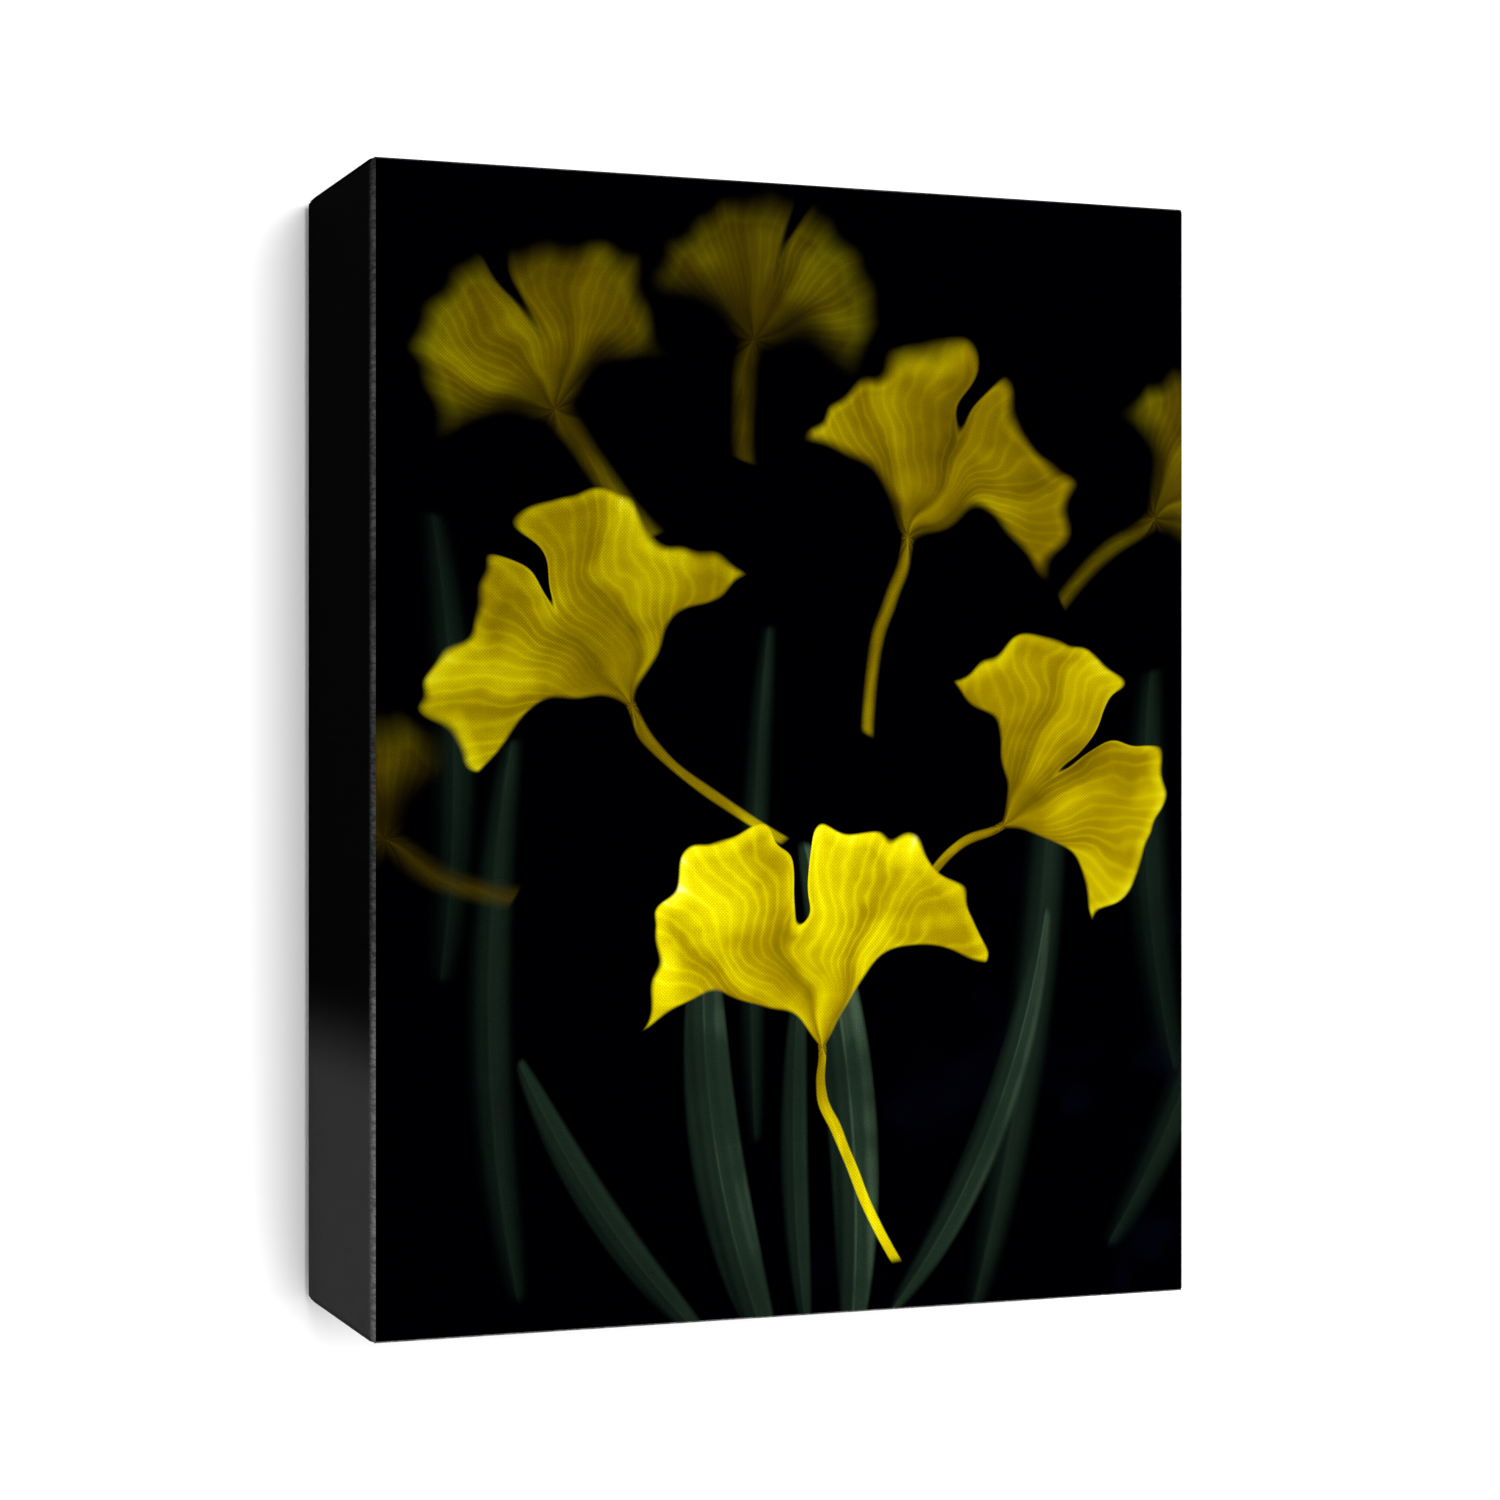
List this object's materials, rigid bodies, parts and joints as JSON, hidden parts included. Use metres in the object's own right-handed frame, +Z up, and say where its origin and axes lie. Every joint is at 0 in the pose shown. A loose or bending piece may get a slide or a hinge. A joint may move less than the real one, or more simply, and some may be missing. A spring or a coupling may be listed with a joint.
{
  "type": "wrapped canvas print",
  "caption": "Upright picture on canvas, wrapped round deep wooden stretcher bars, with tucked corners, stapled flaps and a sawtooth hanger on the open back.",
  "frame": {"origin": "point on the wall where the nail stands that carries the middle notch of the hanger", "axes": "+Z up the picture, -Y out of its face, +Y into the wall, +X to its right"},
  "size_m": [0.1554, 0.0534, 0.204],
  "materials": {
    "canvas": "matte printed cotton canvas, black sides, plain weave",
    "bars": "planed pine, unfinished",
    "keys": "sawn beech, unfinished",
    "staples": "galvanised steel wire",
    "hanger": "bright zinc-plated steel strip",
    "bumpers": "soft matte rubber"
  },
  "bodies": {
    "root": {"canvas": "canvas", "bar_top": "bars", "bar_right": "bars", "bar_bottom": "bars", "bar_left": "bars", "key_top_a": "keys", "key_top_b": "keys", "key_right_a": "keys", "key_right_b": "keys", "key_bottom_a": "keys", "key_bottom_b": "keys", "key_left_a": "keys", "key_left_b": "keys", "staple_01": "staples", "staple_02": "staples", "staple_03": "staples", "staple_04": "staples", "staple_05": "staples", "staple_06": "staples", "staple_07": "staples", "staple_08": "staples", "staple_09": "staples", "staple_10": "staples", "staple_11": "staples", "staple_12": "staples", "staple_13": "staples", "staple_14": "staples", "staple_15": "staples", "staple_16": "staples", "staple_17": "staples", "staple_18": "staples", "hanger": "hanger", "hanger_nail_left": "staples", "hanger_nail_right": "staples", "bumper_left": "bumpers", "bumper_right": "bumpers"}
  },
  "joints": []
}
